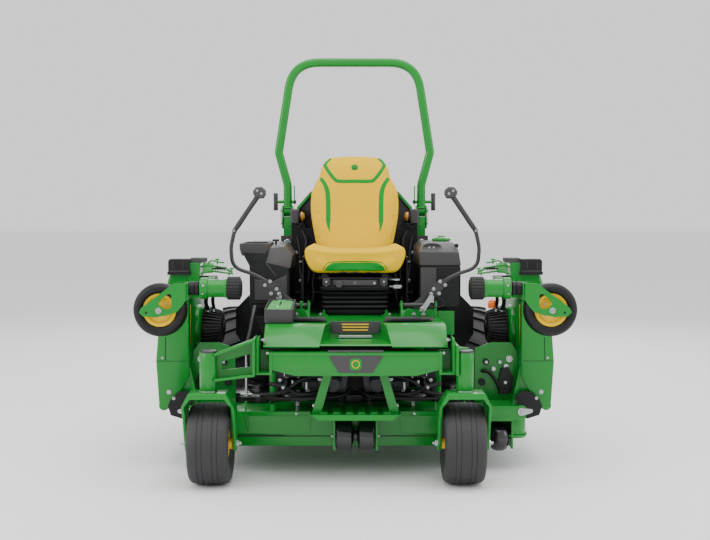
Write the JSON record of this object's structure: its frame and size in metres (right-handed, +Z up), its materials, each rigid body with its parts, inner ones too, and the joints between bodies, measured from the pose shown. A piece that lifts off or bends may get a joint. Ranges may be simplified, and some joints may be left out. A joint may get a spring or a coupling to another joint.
{
  "type": "zero turn mower",
  "caption": "Ride-on zero turn mower with a centre deck, two wing decks folded upright, front casters, steering levers, suspended seat and folding roll hoop.",
  "frame": {"origin": "on the ground under the middle of the machine's outer box", "axes": "+Z up, -Y the way the mower drives forward, +X the operator's left"},
  "size_m": [1.82, 2.25, 1.871],
  "materials": {
    "green_paint": "satin green paint, 35% gloss",
    "black_paint": "satin black paint",
    "engine_alloy": "cast alloy, painted black",
    "black_plastic": "fine-grained black moulding",
    "hydraulic_black": "black ribbed casting",
    "grey_plastic": "fine-grained dark grey moulding",
    "grey_paint": "satin dark grey paint",
    "seat_vinyl": "yellow vinyl with green piping",
    "bellows_rubber": "matt black moulded bellows",
    "tyre_rubber": "dark tyre rubber",
    "yellow_paint": "gloss yellow paint",
    "roller_plastic": "polished black moulding",
    "bare_steel": "zinc-plated or ground steel"
  },
  "bodies": {
    "chassis": {"main_frame": "black_paint", "front_beam": "green_paint", "caster_arm_left": "green_paint", "caster_arm_right": "green_paint", "footplate": "green_paint", "front_step": "green_paint", "fuel_tank": "grey_plastic", "side_console": "grey_plastic", "engine": "engine_alloy", "engine_hood": "black_plastic", "rear_guard": "green_paint", "rops_post_left": "green_paint", "rops_post_right": "green_paint", "fender_left": "black_plastic", "fender_right": "black_plastic", "wheel_motor_left": "hydraulic_black", "wheel_motor_right": "hydraulic_black", "warning_lamp_left": "grey_plastic", "warning_lamp_right": "grey_plastic", "seat_suspension": "bellows_rubber"},
    "seat_carriage": {"seat_rails": "black_paint"},
    "seat": {"seat_pan": "black_paint", "seat_cushion": "seat_vinyl", "seat_back": "seat_vinyl"},
    "rops": {"rops_hoop": "green_paint"},
    "deck": {"deck_shell": "green_paint"},
    "deck_rollers": {"deck_rollers": "roller_plastic"},
    "blade_center": {"blade_center": "bare_steel"},
    "rops_pin_left": {"rops_pin_left": "grey_paint"},
    "caster_left": {"caster_fork_left": "green_paint"},
    "caster_wheel_left": {"caster_tyre_left": "tyre_rubber", "caster_rim_left": "yellow_paint"},
    "drive_wheel_left": {"drive_tyre_left": "tyre_rubber", "drive_rim_left": "yellow_paint"},
    "lever_base_left": {"lever_base_left": "bare_steel"},
    "control_lever_left": {"control_lever_left": "grey_paint"},
    "deck_wheel_left": {"deck_wheel_left": "roller_plastic"},
    "blade_left": {"blade_left": "bare_steel"},
    "wing_left": {"wing_shell_left": "green_paint", "wing_motor_left": "hydraulic_black", "wing_arm_left": "green_paint"},
    "wing_blade_left": {"wing_blade_left": "bare_steel"},
    "wing_caster_left": {"wing_fork_left": "green_paint"},
    "wing_wheel_left": {"wing_wheel_left": "tyre_rubber"},
    "rops_pin_right": {"rops_pin_right": "grey_paint"},
    "caster_right": {"caster_fork_right": "green_paint"},
    "caster_wheel_right": {"caster_tyre_right": "tyre_rubber", "caster_rim_right": "yellow_paint"},
    "drive_wheel_right": {"drive_tyre_right": "tyre_rubber", "drive_rim_right": "yellow_paint"},
    "lever_base_right": {"lever_base_right": "bare_steel"},
    "control_lever_right": {"control_lever_right": "grey_paint"},
    "deck_wheel_right": {"deck_wheel_right": "roller_plastic"},
    "blade_right": {"blade_right": "bare_steel"},
    "wing_right": {"wing_shell_right": "green_paint", "wing_motor_right": "hydraulic_black", "wing_arm_right": "green_paint"},
    "wing_blade_right": {"wing_blade_right": "bare_steel"},
    "wing_caster_right": {"wing_fork_right": "green_paint"},
    "wing_wheel_right": {"wing_wheel_right": "tyre_rubber"}
  },
  "joints": [
    {"name": "seat_travel", "type": "slide", "parent": "chassis", "child": "seat_carriage", "axis": [0, 0, 1], "range_m": [-0.05, 0], "stiffness_N_per_m": 12000, "springref_m": 0.05, "deforming": ["seat_suspension"]},
    {"name": "seat_slide", "type": "slide", "parent": "seat_carriage", "child": "seat", "axis": [0, 1, 0], "range_m": [-0.04, 0.04]},
    {"name": "rops_fold", "type": "hinge", "parent": "chassis", "child": "rops", "pos_m": [0, 0.19, 1.11], "axis": [-1, 0, 0], "range_deg": [0, 95]},
    {"name": "deck_lift", "type": "slide", "parent": "chassis", "child": "deck", "axis": [0, 0, 1], "range_m": [-0.06, 0]},
    {"name": "deck_roller_spin", "type": "hinge", "parent": "deck", "child": "deck_rollers", "pos_m": [0, -0.832, 0.169], "axis": [1, 0, 0], "continuous": true},
    {"name": "blade_center_spin", "type": "hinge", "parent": "deck", "child": "blade_center", "pos_m": [0, -0.415, 0.165], "axis": [0, 0, 1], "continuous": true},
    {"name": "rops_pin_left_pull", "type": "slide", "parent": "rops", "child": "rops_pin_left", "axis": [1, 0, 0], "range_m": [0, 0.035]},
    {"name": "caster_left_swivel", "type": "hinge", "parent": "chassis", "child": "caster_left", "pos_m": [0.436, -1.035, 0.45], "axis": [0, 0, 1], "continuous": true},
    {"name": "caster_left_spin", "type": "hinge", "parent": "caster_left", "child": "caster_wheel_left", "pos_m": [0.436, -0.96, 0.165], "axis": [1, 0, 0], "continuous": true},
    {"name": "drive_left_spin", "type": "hinge", "parent": "chassis", "child": "drive_wheel_left", "pos_m": [0.55, 0.39, 0.305], "axis": [1, 0, 0], "continuous": true},
    {"name": "lever_left_drive", "type": "hinge", "parent": "chassis", "child": "lever_base_left", "pos_m": [0.3, -0.53, 0.69], "axis": [1, 0, 0], "range_deg": [-12, 15]},
    {"name": "lever_left_swing", "type": "hinge", "parent": "lever_base_left", "child": "control_lever_left", "pos_m": [0.334, -0.546, 0.744], "axis": [0, -1, 0], "range_deg": [0, 25]},
    {"name": "deck_wheel_left_spin", "type": "hinge", "parent": "deck", "child": "deck_wheel_left", "pos_m": [0.617, -0.698, 0.138], "axis": [1, 0, 0], "continuous": true},
    {"name": "blade_left_spin", "type": "hinge", "parent": "deck", "child": "blade_left", "pos_m": [0.44, -0.415, 0.165], "axis": [0, 0, 1], "continuous": true},
    {"name": "wing_left_fold", "type": "hinge", "parent": "deck", "child": "wing_left", "pos_m": [0.702, -0.36, 0.258], "axis": [0, 1, 0], "range_deg": [0, 90]},
    {"name": "wing_blade_left_spin", "type": "hinge", "parent": "wing_left", "child": "wing_blade_left", "pos_m": [0.797, -0.35, 0.575], "axis": [1, 0, 0], "continuous": true},
    {"name": "wing_caster_left_swivel", "type": "hinge", "parent": "wing_left", "child": "wing_caster_left", "pos_m": [0.6, -0.88, 0.79], "axis": [1, 0, 0], "continuous": true},
    {"name": "wing_wheel_left_spin", "type": "hinge", "parent": "wing_caster_left", "child": "wing_wheel_left", "pos_m": [0.8, -0.88, 0.702], "axis": [0, 1, 0], "continuous": true},
    {"name": "rops_pin_right_pull", "type": "slide", "parent": "rops", "child": "rops_pin_right", "axis": [-1, 0, 0], "range_m": [0, 0.035]},
    {"name": "caster_right_swivel", "type": "hinge", "parent": "chassis", "child": "caster_right", "pos_m": [-0.586, -1.035, 0.45], "axis": [0, 0, 1], "continuous": true},
    {"name": "caster_right_spin", "type": "hinge", "parent": "caster_right", "child": "caster_wheel_right", "pos_m": [-0.586, -0.96, 0.165], "axis": [1, 0, 0], "continuous": true},
    {"name": "drive_right_spin", "type": "hinge", "parent": "chassis", "child": "drive_wheel_right", "pos_m": [-0.55, 0.39, 0.305], "axis": [1, 0, 0], "continuous": true},
    {"name": "lever_right_drive", "type": "hinge", "parent": "chassis", "child": "lever_base_right", "pos_m": [-0.3, -0.53, 0.69], "axis": [1, 0, 0], "range_deg": [-12, 15]},
    {"name": "lever_right_swing", "type": "hinge", "parent": "lever_base_right", "child": "control_lever_right", "pos_m": [-0.334, -0.546, 0.744], "axis": [0, 1, 0], "range_deg": [0, 25]},
    {"name": "deck_wheel_right_spin", "type": "hinge", "parent": "deck", "child": "deck_wheel_right", "pos_m": [-0.617, -0.698, 0.138], "axis": [1, 0, 0], "continuous": true},
    {"name": "blade_right_spin", "type": "hinge", "parent": "deck", "child": "blade_right", "pos_m": [-0.44, -0.415, 0.165], "axis": [0, 0, 1], "continuous": true},
    {"name": "wing_right_fold", "type": "hinge", "parent": "deck", "child": "wing_right", "pos_m": [-0.702, -0.36, 0.258], "axis": [0, -1, 0], "range_deg": [0, 90]},
    {"name": "wing_blade_right_spin", "type": "hinge", "parent": "wing_right", "child": "wing_blade_right", "pos_m": [-0.797, -0.35, 0.575], "axis": [1, 0, 0], "continuous": true},
    {"name": "wing_caster_right_swivel", "type": "hinge", "parent": "wing_right", "child": "wing_caster_right", "pos_m": [-0.6, -0.88, 0.79], "axis": [1, 0, 0], "continuous": true},
    {"name": "wing_wheel_right_spin", "type": "hinge", "parent": "wing_caster_right", "child": "wing_wheel_right", "pos_m": [-0.8, -0.88, 0.702], "axis": [0, 1, 0], "continuous": true}
  ],
  "couplings": [
    {"joint": "blade_left_spin", "follows": "blade_center_spin", "ratio": 1},
    {"joint": "blade_right_spin", "follows": "blade_center_spin", "ratio": 1}
  ]
}
